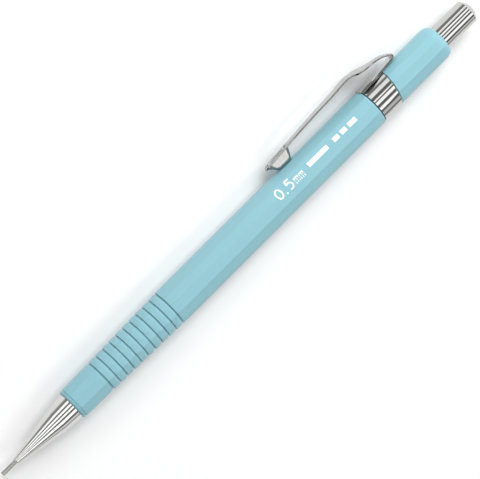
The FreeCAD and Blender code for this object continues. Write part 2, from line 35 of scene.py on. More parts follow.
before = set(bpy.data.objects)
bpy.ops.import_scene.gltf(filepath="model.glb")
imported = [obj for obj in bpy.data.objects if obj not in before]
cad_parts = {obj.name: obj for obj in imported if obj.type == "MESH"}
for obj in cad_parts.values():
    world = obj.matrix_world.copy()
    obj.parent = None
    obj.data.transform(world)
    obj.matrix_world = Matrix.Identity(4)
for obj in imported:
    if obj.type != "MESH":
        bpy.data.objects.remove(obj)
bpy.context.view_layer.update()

MM = 0.001
LENGTH = 143.0
SIDES = 12
BARREL_RADIUS = 4.45
PLAIN_SOFTNESS = 1.1
FACET = 2 * math.pi / SIDES
CORNER_EXCESS = 1 / math.cos(FACET / 2) - 1
AXIS_HEIGHT = (BARREL_RADIUS + CORNER_EXCESS * PLAIN_SOFTNESS) / (1 + CORNER_EXCESS)
SKIN_GAP = 0.004                # how far a visible surface stays inside its CAD solid


# ---- mesh helpers ----

def point(station, reach, side):
    """Vector in metres from a station, a reach towards the clip and a height above the axis."""
    return Vector(((LENGTH / 2 - station) * MM, -reach * MM, (AXIS_HEIGHT + side) * MM))


def make_piece(name, verts, faces, body, slot, material, replaced=(), sharp=math.radians(40)):
    """Mesh object that rides on a body and stands for CAD nodes."""
    mesh = bpy.data.meshes.new(name)
    mesh.from_pydata(verts, [], faces)
    mesh.validate()
    mesh.update()
    mesh.shade_smooth()
    mesh.set_sharp_from_angle(angle=sharp)
    piece = bpy.data.objects.new(name, mesh)
    bpy.context.scene.collection.objects.link(piece)
    mesh.materials.append(material)
    weighted = piece.modifiers.new("even_shading", "WEIGHTED_NORMAL")
    weighted.keep_sharp = True
    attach(piece, body)
    if replaced:
        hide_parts(*replaced)
    return piece


def skin(rings, loop=False, caps=(False, False)):
    """Vertices and faces over a row of rings with equal numbers of points."""
    verts = [vert for ring in rings for vert in ring]
    size = len(rings[0])
    faces = []
    count = len(rings)
    for row in range(count if loop else count - 1):
        below = row * size
        above = (row + 1) % count * size
        for column in range(size):
            following = (column + 1) % size
            faces.append((below + column, below + following, above + following, above + column))
    for wanted, row, flip in ((caps[0], 0, True), (caps[1], count - 1, False)):
        if not wanted:
            continue
        centre = len(verts)
        verts.append(sum(rings[row], Vector()) / size)
        for column in range(size):
            corners = [row * size + column, row * size + (column + 1) % size, centre]
            faces.append(tuple(reversed(corners)) if flip else tuple(corners))
    return verts, faces


def merged(parts):
    """Several (verts, faces) sets as one."""
    verts = []
    faces = []
    for part_verts, part_faces in parts:
        start = len(verts)
        verts.extend(part_verts)
        faces.extend(tuple(index + start for index in face) for face in part_faces)
    return verts, faces


def rounded(corners, closed=False, steps=5):
    """Outline with its corners rounded off; a corner may carry a third value, its radius."""
    result = []
    count = len(corners)
    for index, corner in enumerate(corners):
        radius = corner[2] if len(corner) > 2 else 0
        if radius == 0 or (not closed and index in (0, count - 1)):
            result.append((corner[0], corner[1]))
            continue
        here = Vector(corner[:2])
        before = Vector(corners[index - 1][:2]) - here
        after = Vector(corners[(index + 1) % count][:2]) - here
        angle = before.angle(after)
        trim = min(radius / math.tan(angle / 2), before.length * 0.48, after.length * 0.48)
        start = here + before.normalized() * trim
        end = here + after.normalized() * trim
        for step in range(steps + 1):
            share = step / steps
            spot = start.lerp(here, share).lerp(here.lerp(end, share), share)
            result.append((spot.x, spot.y))
    return result


def turned(outline, segments=128, closed=True):
    """Surface turned about the axis from (station, radius) points; a radius of 0 closes an open end."""
    caps = (not closed and outline[0][1] == 0, not closed and outline[-1][1] == 0)
    inner = outline[1:] if caps[0] else outline
    inner = inner[:-1] if caps[1] else inner
    rings = []
    for station, radius in inner:
        angles = (2 * math.pi * column / segments for column in range(segments))
        rings.append([point(station, radius * math.cos(angle), radius * math.sin(angle)) for angle in angles])
    verts, faces = skin(rings, loop=closed)
    for wanted, row, flip, station in ((caps[0], 0, True, outline[0][0]),
                                       (caps[1], len(rings) - 1, False, outline[-1][0])):
        if wanted:
            centre = len(verts)
            verts.append(point(station, 0, 0))
            for column in range(segments):
                corners = (row * segments + column, row * segments + (column + 1) % segments, centre)
                faces.append(tuple(reversed(corners)) if flip else corners)
    return verts, faces


def smooth_line(points, steps=6):
    """Natural cubic curve through points, as finer points."""
    lengths = [0.0]
    for before, after in zip(points, points[1:]):
        lengths.append(lengths[-1] + math.dist(before, after))
    axes = []
    for axis in (0, 1):
        values = [spot[axis] for spot in points]
        axes.append((values, curvatures(lengths, values)))
    fine = []
    for index in range(len(points) - 1):
        span = lengths[index + 1] - lengths[index]
        for step in range(steps):
            share = step / steps
            fine.append(tuple(cubic(values, bends, index, span, share) for values, bends in axes))
    fine.append(tuple(points[-1]))
    return fine


def curvatures(lengths, values):
    """Second derivatives of the natural cubic through values."""
    count = len(values)
    upper = [0.0] * count
    right = [0.0] * count
    for index in range(1, count - 1):
        low = lengths[index] - lengths[index - 1]
        high = lengths[index + 1] - lengths[index]
        load = 6 * ((values[index + 1] - values[index]) / high - (values[index] - values[index - 1]) / low)
        pivot = 2 * (low + high) - low * upper[index - 1]
        upper[index] = high / pivot
        right[index] = (load - low * right[index - 1]) / pivot
    bends = [0.0] * count
    for index in range(count - 2, 0, -1):
        bends[index] = right[index] - upper[index] * bends[index + 1]
    return bends


def cubic(values, bends, index, span, share):
    """Value of the natural cubic part way along a span."""
    rest = 1 - share
    chord = rest * values[index] + share * values[index + 1]
    swell = (rest ** 3 - rest) * bends[index] + (share ** 3 - share) * bends[index + 1]
    return chord + swell * span ** 2 / 6


# ---- materials ----

class Finish:
    """Small builder for a procedural material in the object's own coordinates, in metres."""

    def __init__(self, name, colour, metallic, roughness, **settings):
        self.material = bpy.data.materials.new(name)
        self.material.use_nodes = True
        self.nodes = self.material.node_tree.nodes
        self.links = self.material.node_tree.links
        self.shader = self.nodes["Principled BSDF"]
        self.shader.inputs["Base Color"].default_value = (*colour, 1)
        self.shader.inputs["Metallic"].default_value = metallic
        self.shader.inputs["Roughness"].default_value = roughness
        for socket, value in settings.items():
            self.shader.inputs[socket.replace("_", " ")].default_value = value
        self.places = self.nodes.new("ShaderNodeTexCoord")
        self.height = None

    def noise(self, per_mm, detail=3.0, stretch=(1, 1, 1)):
        """Noise of a given number of grains per millimetre, squeezed along each axis."""
        mapping = self.nodes.new("ShaderNodeMapping")
        mapping.inputs["Scale"].default_value = stretch
        self.links.new(self.places.outputs["Object"], mapping.inputs["Vector"])
        noise = self.nodes.new("ShaderNodeTexNoise")
        noise.inputs["Scale"].default_value = per_mm / MM
        noise.inputs["Detail"].default_value = detail
        self.links.new(mapping.outputs["Vector"], noise.inputs["Vector"])
        return noise.outputs["Fac"]

    def rings(self, per_mm, distortion=0.4):
        """Fine lines round the pencil's axis, as a lathe leaves them."""
        wave = self.nodes.new("ShaderNodeTexWave")
        wave.wave_type = "BANDS"
        wave.bands_direction = "X"
        wave.inputs["Scale"].default_value = per_mm / MM / 3.2
        wave.inputs["Distortion"].default_value = distortion
        wave.inputs["Detail"].default_value = 2.0
        self.links.new(self.places.outputs["Object"], wave.inputs["Vector"])
        return wave.outputs["Fac"]

    def spread(self, value, low, high, start=0.3, end=0.7):
        """Value between start and end brought into another range."""
        spread = self.nodes.new("ShaderNodeMapRange")
        spread.inputs["From Min"].default_value = start
        spread.inputs["From Max"].default_value = end
        spread.inputs["To Min"].default_value = low
        spread.inputs["To Max"].default_value = high
        self.links.new(value, spread.inputs["Value"])
        return spread.outputs["Result"]

    def colours(self, value, first, second):
        """Colour from a value, through a mix of two."""
        mix = self.nodes.new("ShaderNodeMix")
        mix.data_type = "RGBA"
        mix.inputs["A"].default_value = (*first, 1)
        mix.inputs["B"].default_value = (*second, 1)
        self.links.new(value, mix.inputs["Factor"])
        return mix.outputs["Result"]

    def colour(self, value, first, second):
        """Base colour from a value."""
        self.links.new(self.colours(value, first, second), self.shader.inputs["Base Color"])

    def roughness(self, value, low, high):
        """Roughness from a value."""
        self.links.new(self.spread(value, low, high), self.shader.inputs["Roughness"])

    def bump(self, value, depth_mm, strength=1.0):
        """Relief of a real depth; a second call adds to the first."""
        bump = self.nodes.new("ShaderNodeBump")
        bump.inputs["Strength"].default_value = strength
        bump.inputs["Distance"].default_value = depth_mm * MM
        self.links.new(value, bump.inputs["Height"])
        if self.height:
            self.links.new(self.height, bump.inputs["Normal"])
        self.height = bump.outputs["Normal"]
        self.links.new(self.height, self.shader.inputs["Normal"])


def varied(colour, amount):
    """Colour made a little lighter or darker."""
    return tuple(min(1.0, max(0.0, channel * (1 + amount))) for channel in colour)


def moulded(name, colour, roughness, grain=1.6, relief=0.0012, **settings):
    """Injection-moulded plastic: faint orange peel, slight cloudiness, fine handling marks."""
    finish = Finish(name, colour, 0.0, roughness, **settings)
    finish.colour(finish.noise(0.12, 2.0), varied(colour, -0.02), varied(colour, 0.02))
    finish.roughness(finish.noise(2.5, 4.0, (0.3, 1, 1)), roughness - 0.04, roughness + 0.05)
    finish.bump(finish.noise(grain, 2.0), relief)
    return finish.material


def plated(name, colour, roughness, lines=0.0, relief=0.0006, **settings):
    """Bright plated or polished metal; lines is the number of turning marks per millimetre."""
    finish = Finish(name, colour, 1.0, roughness, **settings)
    finish.colour(finish.noise(0.35, 3.0), varied(colour, -0.03), varied(colour, 0.02))
    finish.roughness(finish.noise(3.0, 5.0, (0.4, 1, 1)), roughness * 0.7, roughness * 1.4)
    if lines:
        finish.bump(finish.rings(lines), relief)
    else:
        finish.bump(finish.noise(0.8, 2.0), relief)
    return finish.material


def brushed(name, colour, roughness, relief=0.0008):
    """Sheet metal brushed along the pencil."""
    finish = Finish(name, colour, 1.0, roughness)
    finish.colour(finish.noise(0.4, 3.0, (0.2, 1, 1)), varied(colour, -0.05), varied(colour, 0.03))
    finish.roughness(finish.noise(6.0, 3.0, (0.05, 1, 1)), roughness * 0.7, roughness * 1.5)
    finish.bump(finish.noise(9.0, 2.0, (0.04, 1, 1)), relief)
    return finish.material


PASTEL = (0.24, 0.475, 0.54)
BARREL = moulded("barrel_plastic", PASTEL, 0.42, IOR=1.48)
TUBE = moulded("tube_plastic", (0.78, 0.79, 0.78), 0.38, IOR=1.46)
CHROME = plated("cap_chrome", (0.54, 0.54, 0.53), 0.06)
TURNED = plated("cone_chrome", (0.70, 0.70, 0.69), 0.09, lines=7.0)
STEEL = brushed("sleeve_steel", (0.42, 0.42, 0.41), 0.25)
CLIP = plated("clip_steel", (0.52, 0.52, 0.51), 0.08)
# Same steel as the clip band, with a darker base colour as painted shade for the arm's darker reflections; its
# higher roughness is its own duller finish.
SHADED_ARM_STEEL = plated("clip_arm_steel_painted_shade", (0.40, 0.40, 0.39), 0.15)
BRASS = plated("chuck_brass", (0.80, 0.58, 0.27), 0.18, lines=6.0)
SPRING = plated("spring_steel", (0.60, 0.60, 0.60), 0.20)
HOLDER = plated("holder_metal", (0.82, 0.82, 0.80), 0.14, lines=5.0)
PIN = brushed("pin_steel", (0.66, 0.66, 0.66), 0.2)
RETAINER = moulded("retainer_rubber", (0.02, 0.02, 0.022), 0.6, grain=4.0, relief=0.002)
ERASER = moulded("eraser_rubber", (0.86, 0.86, 0.84), 0.62, grain=5.0, relief=0.004)
GRAPHITE = moulded("graphite", (0.035, 0.036, 0.04), 0.35, grain=6.0, relief=0.002)
PRINT = moulded("white_print", (0.90, 0.93, 0.94), 0.45, grain=5.0, relief=0.001)


# ---- barrel ----

CRISP_SOFTNESS = 0.5
BARREL_FRONT = 20.6
BARREL_REAR = 132.95
NOSE_BAND_RADIUS = (3.78, 3.88)
NOSE_BAND_END = 28.85
GRIP_START = 29.58
GRIP_STEPS = 10
GRIP_PITCH = 2.042
GRIP_CREST_LENGTH = 1.25
GRIP_CREST_RADIUS = (3.97, 4.38)
GROOVE_DEPTH = 0.17
STEP_DRAFT = 0.05
SLIT_WIDTH = 0.26               # narrow dark slit in front of each grip step
SLIT_DEPTH = 0.3
FRONT_GROOVE = (21.1, 21.5)     # fine groove behind the front edge
BAND_RECESS = 0.14              # how far the barrel stops short of the clip band, for the dark joint
PLAIN_START = GRIP_START + GRIP_STEPS * GRIP_PITCH
REAR_RADIUS = 4.17
SHOULDER_LENGTH = 2.1
SHOULDER_DEPTH = 0.92
BORE = 3.0
NOSE_BORE = 3.1
NOSE_BORE_END = 29.0
SHEET = 0.45
BAND_FRONT = 111.93
BAND_REAR = 117.73
BAND_LEAN = 0.16
BAND_RADIUS = 4.32
BAND_GAP = 0.08
SEAT_RADIUS = BAND_RADIUS - SHEET
JOINT_RADIUS = 3.25             # bottom of the narrow joints at both edges of the band
FLAT_POINTS = 4
CORNER_POINTS = 6


def flat_distance(radius, softness):
    """Distance from the axis to a flat of a rounded twelve-sided outline."""
    return (radius + CORNER_EXCESS * softness) / (1 + CORNER_EXCESS)


def outline_spots(radius, softness):
    """Points (reach, side) round a rounded twelve-sided outline."""
    flat = flat_distance(radius, softness)
    half_flat = (flat - softness) * math.tan(FACET / 2)
    corner_centre = radius - softness
    spots = []
    for side in range(SIDES):
        middle = side * FACET
        for step in range(FLAT_POINTS):
            along_flat = half_flat * (2 * step / (FLAT_POINTS - 1) - 1)
            spots.append((flat * math.cos(middle) - along_flat * math.sin(middle),
                          flat * math.sin(middle) + along_flat * math.cos(middle)))
        corner = middle + FACET / 2
        for step in range(1, CORNER_POINTS):
            turn = corner - FACET / 2 + FACET * step / CORNER_POINTS
            spots.append((corner_centre * math.cos(corner) + softness * math.cos(turn),
                          corner_centre * math.sin(corner) + softness * math.sin(turn)))
    return spots


OUTLINE_ANGLES = [math.atan2(side, reach) for reach, side in outline_spots(BARREL_RADIUS, PLAIN_SOFTNESS)]


def sided_ring(station, radius, softness, lean=0.0):
    """Twelve-sided ring; with a lean its points move back along the barrel towards the clip."""
    return [point(station + lean * reach, reach, side) for reach, side in outline_spots(radius, softness)]


def round_ring(station, radius, lean=0.0):
    """Round ring with as many points as a twelve-sided one."""
    spots = [(radius * math.cos(angle), radius * math.sin(angle)) for angle in OUTLINE_ANGLES]
    return [point(station + lean * reach, reach, side) for reach, side in spots]


def front_softness(station):
    """The corners soften steadily from the nose to the plain barrel."""
    share = (station - BARREL_FRONT) / (PLAIN_START - BARREL_FRONT)
    return CRISP_SOFTNESS + min(share, 1) * (PLAIN_SOFTNESS - CRISP_SOFTNESS)


def nose_and_grip_outline():
    """Lengthwise (station, radius, fillet) corners of the front of the barrel."""
    front, back = NOSE_BAND_RADIUS
    groove = front - GROOVE_DEPTH / 2
    corners = [(BARREL_FRONT, front - 0.3, 0), (BARREL_FRONT + 0.2, front - 0.12, 0.1),
               (FRONT_GROOVE[0], front, 0.03), (FRONT_GROOVE[0] + 0.05, front - 0.2, 0.02),
               (FRONT_GROOVE[1] - 0.05, front - 0.2, 0.02), (FRONT_GROOVE[1], front, 0.03),
               (NOSE_BAND_END, back, 0.06),
               (NOSE_BAND_END + 0.25, groove, 0.06), (GRIP_START - STEP_DRAFT, groove, 0.03)]
    first, last = GRIP_CREST_RADIUS
    for step in range(GRIP_STEPS):
        start = GRIP_START + step * GRIP_PITCH
        crest = first + (last - first) * step / (GRIP_STEPS - 1)
        foot_radius = crest - GROOVE_DEPTH - 0.01
        corners.pop()
        corners.append((start - STEP_DRAFT - SLIT_WIDTH, foot_radius, 0.03))
        corners.append((start - STEP_DRAFT - SLIT_WIDTH * 0.7, foot_radius - SLIT_DEPTH, 0.02))
        corners.append((start - STEP_DRAFT * 0.5, foot_radius - SLIT_DEPTH, 0.02))
        corners.append((start, crest, 0.045))
        corners.append((start + GRIP_CREST_LENGTH, crest, 0.25))
        corners.append((start + GRIP_PITCH - STEP_DRAFT, crest - GROOVE_DEPTH, 0.03))
    last_foot = GRIP_CREST_RADIUS[1] - GROOVE_DEPTH - 0.01
    corners.pop()
    corners.append((PLAIN_START - STEP_DRAFT - SLIT_WIDTH, last_foot, 0.03))
    corners.append((PLAIN_START - STEP_DRAFT - SLIT_WIDTH * 0.7, last_foot - SLIT_DEPTH, 0.02))
    corners.append((PLAIN_START - STEP_DRAFT * 0.5, last_foot - SLIT_DEPTH, 0.02))
    corners.append((PLAIN_START, BARREL_RADIUS, 0.045))
    corners.append((BAND_FRONT - 0.4, BARREL_RADIUS, 0.15))
    corners.append((BAND_FRONT - BAND_RECESS, BARREL_RADIUS - 0.15, 0))
    return rounded(corners, steps=3)


PLAIN_LEAD_IN = 5               # from the start of the plain barrel to its first inner ring
PLAIN_SPACING = 8
PLAIN_RINGS = 7
REAR_RINGS = (119.5, 123.0, 127.0)


def barrel_rings():
    """Rings over the outside of the barrel and back through its bore."""
    rings = [sided_ring(station, radius - SKIN_GAP, front_softness(station))
             for station, radius in nose_and_grip_outline()]
    plain = rings.pop()
    long_run = [sided_ring(PLAIN_START + PLAIN_LEAD_IN + PLAIN_SPACING * step, BARREL_RADIUS - SKIN_GAP,
                           PLAIN_SOFTNESS) for step in range(PLAIN_RINGS)]
    tail = [index for index, ring in enumerate(rings)
            if ring[0].x < point(PLAIN_START + PLAIN_LEAD_IN, 0, 0).x]
    rings[tail[0]:tail[0]] = long_run
    rings.append(plain)
    start = BAND_REAR + BAND_RECESS
    rings.append(round_ring(BAND_FRONT - BAND_RECESS, JOINT_RADIUS))
    rings.append(round_ring(BAND_FRONT + BAND_GAP, JOINT_RADIUS))
    rings.append(round_ring(BAND_FRONT + BAND_GAP, SEAT_RADIUS - SKIN_GAP))
    rings.append(round_ring(BAND_REAR - BAND_GAP, SEAT_RADIUS - SKIN_GAP, BAND_LEAN))
    rings.append(round_ring(BAND_REAR - BAND_GAP, JOINT_RADIUS, BAND_LEAN))
    rings.append(round_ring(start, JOINT_RADIUS, BAND_LEAN))
    rings.append(sided_ring(start, REAR_RADIUS - 0.08, CRISP_SOFTNESS, BAND_LEAN))
    rings.append(sided_ring(start + 0.02, REAR_RADIUS - 0.03, CRISP_SOFTNESS, BAND_LEAN))
    rings.append(sided_ring(start + 0.09, REAR_RADIUS - SKIN_GAP, CRISP_SOFTNESS, BAND_LEAN))
    for station in REAR_RINGS:
        rings.append(sided_ring(station, REAR_RADIUS - SKIN_GAP, CRISP_SOFTNESS))
    shoulder_steps = 10
    for step in range(shoulder_steps + 1):
        turn = math.pi / 2 * step / shoulder_steps
        rings.append(sided_ring(BARREL_REAR - SHOULDER_LENGTH * (1 - math.sin(turn)),
                                REAR_RADIUS - SKIN_GAP - SHOULDER_DEPTH * (1 - math.cos(turn)), CRISP_SOFTNESS))
    bore = [(BARREL_REAR, BORE + 0.06), (BARREL_REAR - 0.06, BORE), (NOSE_BORE_END, BORE),
            (NOSE_BORE_END, NOSE_BORE), (BARREL_FRONT, NOSE_BORE)]
    rings.extend(round_ring(station, radius) for station, radius in bore)
    return rings


make_piece("barrel_shell", *skin(barrel_rings(), loop=True), "body", "barrel_plastic", BARREL, ["barrel"],
           math.radians(35))


# ---- sheet-steel clip ----

BASE_LIP = 0.4
BASE_HALF_WIDTH = 1.7
BASE_REACH = 4.5
BASE_BEND = 116.9
FOLD = (122.05, 5.15)
FOLD_OUTER = 0.7
FOLD_HALF_WIDTH = 1.4
FOLD_ARM_LEAN = math.radians(31.0)
FOLD_BASE_LEAN = math.radians(6.8)
FOLD_GAP = 0.06
ARM_HEEL = [(121.6, 6.15), (120.75, 6.6), (119.35, 6.92), (118.25, 7.12), (117.15, 7.33), (116.1, 7.55),
            (115.1, 7.79), (114.1, 8.03)]
ARM_BLADE = [(113.2, 8.32), (112.3, 8.56), (110.5, 8.6), (108.3, 8.4), (101.8, 8.06), (95.1, 7.65),
             (90.85, 7.35), (88.65, 7.2), (86.5, 6.97), (85.3, 6.7)]
ARM_HALF_WIDTHS = [(123.1, 1.4), (121.0, 1.3), (119.4, 1.2), (118.2, 1.3), (117.15, 1.75), (116.0, 2.4),
                   (114.95, 2.95), (114.05, 3.05), (113.5, 2.6), (112.9, 1.75), (111.9, 1.6), (110.55, 1.58),
                   (93.5, 1.0), (92.3, 1.15), (86.5, 1.2)]
ARM_END = 85.3
ARM_TIP_ROUNDING = (0.35, 0.85)
FOOT_TOP = (84.9, 93.1)
FOOT_BOTTOM = (87.5, 91.2)
FOOT_HALF_WIDTHS = (1.2, 0.75)
FOOT_REACH = AXIS_HEIGHT + 0.06
FOOT_WALL = 0.35
FOOT_TOP_REACH = 7.9
FOOT_JOIN = 94.4                # station where the blade's strip gives way to the pressed foot
EDGE = 0.07                     # rounding of the sheet's cut edges


def half_width(station):
    """Half width of the clip's arm at a station."""
    for (rear, wide), (front, narrow) in zip(ARM_HALF_WIDTHS, ARM_HALF_WIDTHS[1:]):
        if front <= station <= rear:
            return narrow + (wide - narrow) * (station - front) / (rear - front)
    return ARM_HALF_WIDTHS[0][1] if station > ARM_HALF_WIDTHS[0][0] else ARM_HALF_WIDTHS[-1][1]


def fold_point(radius, turn):
    """Point on the fold's circle; the turn goes from straight out, over the back, to straight in."""
    return (FOLD[0] + radius * math.sin(turn), FOLD[1] + radius * math.cos(turn))


def arm_line():
    """Points on the outer face of the arm, from the fold to the tip."""
    start = fold_point(FOLD_OUTER, FOLD_ARM_LEAN)
    return smooth_line([start] + ARM_HEEL + ARM_BLADE)


def strip_ring(spot, slope, half, thickness=SHEET):
    """Rounded rectangle across a strip whose outer face passes through spot."""
    outward = (math.sin(slope), math.cos(slope))
    corners = [(half, 0, EDGE), (half, -thickness, EDGE), (-half, -thickness, EDGE), (-half, 0, EDGE)]
    ring = []
    for side, depth in rounded(corners, closed=True, steps=3):
        ring.append(point(spot[0] + outward[0] * depth, spot[1] + outward[1] * depth, side))
    return ring


def slopes(line):
    """Lean of a line of (station, reach) points at each of them; the line runs towards the tip."""
    result = []
    for index in range(len(line)):
        before = line[max(index - 1, 0)]
        after = line[min(index + 1, len(line) - 1)]
        result.append(math.atan2(after[1] - before[1], before[0] - after[0]))
    return result


def arm_strip():
    """Hairpin fold, stepped shoulder and tapering blade, up to the pressed foot."""
    rings = []
    turns = 14
    for step in range(turns):
        turn = math.pi - FOLD_BASE_LEAN + (FOLD_ARM_LEAN - math.pi + FOLD_BASE_LEAN) * step / turns
        rings.append(strip_ring(fold_point(FOLD_OUTER - SKIN_GAP, turn), turn, FOLD_HALF_WIDTH - SKIN_GAP))
    line = arm_line()
    extra = [station for station, width in ARM_HALF_WIDTHS if station < line[0][0]]
    leans = slopes(line)
    leans[0] = FOLD_ARM_LEAN
    for index, (spot, lean) in enumerate(zip(line, leans)):
        if spot[0] < FOOT_JOIN:
            break
        rings.append(strip_ring(spot, lean, half_width(spot[0]) - SKIN_GAP))
        following = line[index + 1]
        for station in sorted(extra, reverse=True):
            if following[0] < station < spot[0]:
                share = (spot[0] - station) / (spot[0] - following[0])
                reach = spot[1] + (following[1] - spot[1]) * share
                rings.append(strip_ring((station, reach), lean + (leans[index + 1] - lean) * share,
                                        half_width(station) - SKIN_GAP))
    rings.append(strip_ring((FOOT_JOIN, arm_reach(FOOT_JOIN)), arm_slope(FOOT_JOIN),
                            half_width(FOOT_JOIN) - SKIN_GAP))
    return skin(rings, caps=(True, True))


def arm_reach(station):
    """Reach of the arm's outer face at a station."""
    for before, after in zip(ARM_LINE, ARM_LINE[1:]):
        if after[0] <= station <= before[0]:
            return after[1] + (before[1] - after[1]) * (station - after[0]) / (before[0] - after[0])
    return ARM_LINE[-1][1]


def arm_slope(station):
    """Lean of the arm's outer face at a station."""
    step = 0.2
    high = min(station + step, ARM_LINE[0][0])
    low = max(station - step, ARM_LINE[-1][0])
    return math.atan2(arm_reach(low) - arm_reach(high), high - low)


ARM_LINE = arm_line()


def stadium(front, rear, radius, steps=24):
    """Outline (station, side) with round ends."""
    spots = []
    for step in range(steps + 1):
        turn = math.pi / 2 + math.pi * step / steps
        spots.append((front + radius + radius * math.cos(turn), radius * math.sin(turn)))
    for step in range(steps + 1):
        turn = -math.pi / 2 + math.pi * step / steps
        spots.append((rear - radius + radius * math.cos(turn), radius * math.sin(turn)))
    return spots


def hull_outline(reach, inset, floor_inset):
    """Outline of the foot at a reach; inset makes it smaller all round."""
    share = (reach - FOOT_REACH - floor_inset) / (FOOT_TOP_REACH - FOOT_REACH - floor_inset)
    front = FOOT_BOTTOM[0] + (FOOT_TOP[0] - FOOT_BOTTOM[0]) * share + inset
    rear = FOOT_BOTTOM[1] + (FOOT_TOP[1] - FOOT_BOTTOM[1]) * share - inset
    radius = FOOT_HALF_WIDTHS[1] + (FOOT_HALF_WIDTHS[0] - FOOT_HALF_WIDTHS[1]) * share - inset
    return stadium(front, rear, radius)


def leaf_outline(inset):
    """Outline of the arm around the foot, with its round tip."""
    setback, narrow = ARM_TIP_ROUNDING
    wide = ARM_HALF_WIDTHS[-1][1]
    station = ARM_HALF_WIDTHS[-1][0]
    tip = [(station, wide), (ARM_END + setback, narrow), (ARM_END, 0.0)]
    centre, radius = circle_through(*tip)
    spots = [(FOOT_JOIN, half_width(FOOT_JOIN) - inset)]
    spots.extend((place, width - inset) for place, width in ARM_HALF_WIDTHS if place < FOOT_JOIN)
    steps = 12
    start = math.atan2(wide - centre[1], station - centre[0])
    for step in range(1, steps):
        turn = start + (math.pi - start) * step / steps
        spots.append((centre[0] + (radius - inset) * math.cos(turn),
                      centre[1] + (radius - inset) * math.sin(turn)))
    spots.append((ARM_END + inset, 0.0))
    mirrored = [(place, -width) for place, width in reversed(spots[:-1])]
    return spots + mirrored


def circle_through(first, second, third):
    """Centre and radius of the circle through three points."""
    (ax, ay), (bx, by), (cx, cy) = first, second, third
    d = 2 * (ax * (by - cy) + bx * (cy - ay) + cx * (ay - by))
    squares = [x * x + y * y for x, y in (first, second, third)]
    x = (squares[0] * (by - cy) + squares[1] * (cy - ay) + squares[2] * (ay - by)) / d
    y = (squares[0] * (cx - bx) + squares[1] * (ax - cx) + squares[2] * (bx - ax)) / d
    return (x, y), math.hypot(ax - x, ay - y)


def ray_hit(outline, centre, turn):
    """Point where a ray from the centre leaves an outline."""
    run = (math.cos(turn), math.sin(turn))
    best = None
    for first, second in zip(outline, outline[1:] + outline[:1]):
        edge = (second[0] - first[0], second[1] - first[1])
        cross = run[0] * edge[1] - run[1] * edge[0]
        if abs(cross) < 1e-12:
            continue
        gap = (first[0] - centre[0], first[1] - centre[1])
        distance = (gap[0] * edge[1] - gap[1] * edge[0]) / cross
        share = (gap[0] * run[1] - gap[1] * run[0]) / cross
        if distance > 0 and -1e-9 <= share <= 1 + 1e-9 and (best is None or distance > best):
            best = distance
    return (centre[0] + run[0] * best, centre[1] + run[1] * best)


def foot():
    """End of the arm with its pressed, hollow, boat-shaped foot, as one closed skin."""
    centre = (89.3, 0.0)
    corner = math.atan2(half_width(FOOT_JOIN), FOOT_JOIN - centre[0])
    count = 96
    turns = [2 * math.pi * step / count for step in range(count)]
    turns = sorted(turns + [corner, 2 * math.pi - corner])
    leaf = leaf_outline(SKIN_GAP)
    leaf_inner = leaf_outline(SKIN_GAP + EDGE)
    under = SHEET - SKIN_GAP

    def row(outline, reach):
        ring = []
        for turn in turns:
            station, side = ray_hit(outline, centre, turn)
            ring.append(point(station, reach(station), side))
        return ring

    def leaf_top(depth):
        return lambda station: arm_reach(station) - SKIN_GAP - depth

    bottom = FOOT_REACH + SKIN_GAP
    floor = FOOT_REACH + FOOT_WALL
    joint = 6.85
    hole = 7.15
    rings = [
        row(hull_outline(bottom, 0.45, 0), lambda station: bottom),
        row(hull_outline(bottom, 0.18, 0), lambda station: bottom),
        row(hull_outline(bottom, 0.06, 0), lambda station: bottom + 0.05),
        row(hull_outline(bottom + 0.17, 0.0, 0), lambda station: bottom + 0.17),
        row(hull_outline(5.4, 0.0, 0), lambda station: 5.4),
        row(hull_outline(joint, SKIN_GAP, 0), leaf_top(under)),
        row(leaf_inner, leaf_top(under)),
        row(leaf, leaf_top(under - EDGE)),
        row(leaf, leaf_top(EDGE)),
        row(leaf_outline(SKIN_GAP + EDGE * 0.3), leaf_top(EDGE * 0.3)),
        row(leaf_inner, leaf_top(0)),
        row(hull_outline(hole, FOOT_WALL - 0.1, 0), leaf_top(0)),
        row(hull_outline(hole, FOOT_WALL - 0.03, 0), leaf_top(0.03)),
        row(hull_outline(hole, FOOT_WALL, 0), leaf_top(0.1)),
        row(hull_outline(6.0, FOOT_WALL, FOOT_WALL), lambda station: 6.0),
        row(hull_outline(floor + 0.17, FOOT_WALL, FOOT_WALL), lambda station: floor + 0.17),
        row(hull_outline(floor, FOOT_WALL + 0.06, FOOT_WALL), lambda station: floor + 0.05),
        row(hull_outline(floor, FOOT_WALL + 0.2, FOOT_WALL), lambda station: floor),
    ]
    return skin(rings, caps=(True, True))


BASE_MIDDLE = 114.5             # a station on the level run of the strip


def base_strip():
    """Strip under the arm, from the lip in front of the band to the fold."""
    end = fold_point(FOLD_OUTER - SHEET, math.pi - FOLD_BASE_LEAN)
    lip = BAND_FRONT - BASE_LIP
    line = [(end[0] - FOLD_GAP, end[1]), (BASE_BEND + 0.5, BASE_REACH + 0.06), (BASE_BEND, BASE_REACH + 0.01),
            (BASE_BEND - 0.5, BASE_REACH), (BASE_MIDDLE, BASE_REACH), (lip + 0.1, BASE_REACH),
            (lip + 0.02, BASE_REACH - 0.03)]
    half = BASE_HALF_WIDTH - SKIN_GAP
    halves = [half, half, half, half, half, half, half - 0.05]
    rings = [strip_ring((spot[0], spot[1] - SKIN_GAP), lean, width, SHEET - 2 * SKIN_GAP)
             for spot, lean, width in zip(line, slopes(line), halves)]
    return skin(rings, caps=(True, True))


